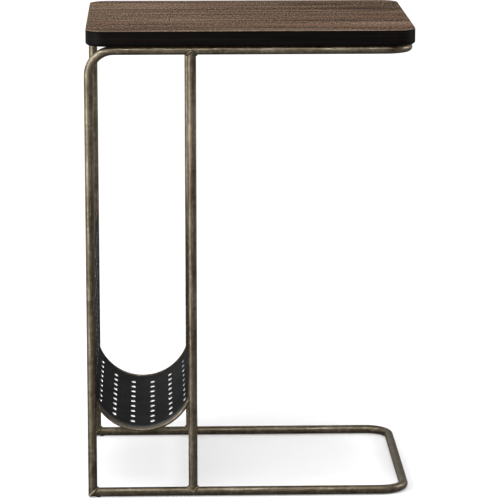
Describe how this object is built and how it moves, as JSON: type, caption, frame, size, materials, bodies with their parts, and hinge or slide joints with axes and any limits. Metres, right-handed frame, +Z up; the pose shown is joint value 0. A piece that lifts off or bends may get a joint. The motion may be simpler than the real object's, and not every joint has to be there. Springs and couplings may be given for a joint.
{
  "type": "c-shaped side table",
  "caption": "C-shaped side table of bent round tube with a wood top and a slotted sheet magazine sling between its uprights; the open base slides under a sofa",
  "frame": {"origin": "on the floor, under the middle of the outline", "axes": "+Z up, +X from the uprights towards the open end, -Y towards the viewer of the picture"},
  "size_m": [0.4596, 0.356, 0.667],
  "materials": {
    "antique_brass": "antique, mottled satin",
    "black_sheet": "fine textured black paint",
    "brown_wood": "matt, open straight grain",
    "black_edge": "satin black lacquer",
    "backing_wood": "raw veneer",
    "screw_steel": "zinc plated",
    "glide_nylon": "moulded"
  },
  "bodies": {
    "root": {"upper_loop": "antique_brass", "base_loop": "antique_brass", "front_inner_upright": "antique_brass", "back_inner_upright": "antique_brass", "front_corner_weld": "antique_brass", "back_corner_weld": "antique_brass", "front_lower_weld": "antique_brass", "back_lower_weld": "antique_brass", "front_upper_weld": "antique_brass", "back_upper_weld": "antique_brass", "magazine_sling": "black_sheet", "front_sling_rod": "antique_brass", "back_sling_rod": "antique_brass", "top_core": "black_edge", "top_veneer": "brown_wood", "top_backing": "backing_wood", "front_left_tab": "antique_brass", "front_right_tab": "antique_brass", "back_left_tab": "antique_brass", "back_right_tab": "antique_brass", "top_screws": "screw_steel", "front_left_glide": "glide_nylon", "front_right_glide": "glide_nylon", "back_left_glide": "glide_nylon", "back_right_glide": "glide_nylon"}
  },
  "joints": []
}
